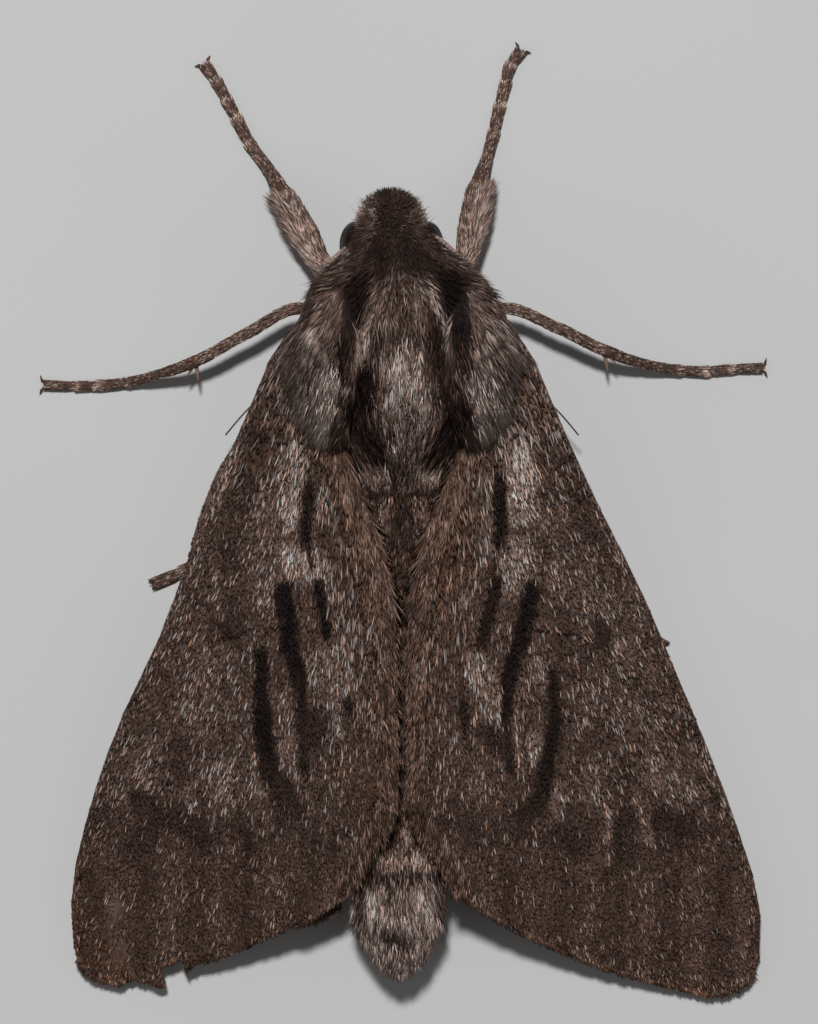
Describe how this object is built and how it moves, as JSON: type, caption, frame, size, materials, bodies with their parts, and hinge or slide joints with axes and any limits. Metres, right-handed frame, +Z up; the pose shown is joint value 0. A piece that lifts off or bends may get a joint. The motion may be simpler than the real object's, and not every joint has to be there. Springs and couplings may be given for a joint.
{
  "type": "hawk moth model",
  "caption": "Life-size still model of a resting northern pine sphinx moth, its forewings swept back like a low roof, standing on its legs.",
  "frame": {"origin": "middle of the bounding box on the level of the feet", "axes": "+X the moth's right, +Y towards its head, +Z up from the surface it stands on"},
  "size_m": [0.0269, 0.0351, 0.0074],
  "materials": {
    "coat": "dense brown and grey scales and hairs",
    "wing": "brown scales flecked with grey and black",
    "leg": "brown scaly cuticle",
    "eye": "glossy dark brown compound eye",
    "antenna": "pale scales over brown"
  },
  "bodies": {
    "root": {"head": "coat", "thorax": "coat", "abdomen": "coat", "tegula_left": "coat", "tegula_right": "coat", "palp_left": "coat", "palp_right": "coat", "eye_left": "eye", "eye_right": "eye", "antenna_left": "antenna", "antenna_right": "antenna", "forewing_left": "wing", "forewing_right": "wing", "hindwing_left": "wing", "hindwing_right": "wing", "foreleg_left": "leg", "foreleg_right": "leg", "midleg_left": "leg", "midleg_right": "leg", "hindleg_left": "leg", "hindleg_right": "leg"}
  },
  "joints": []
}
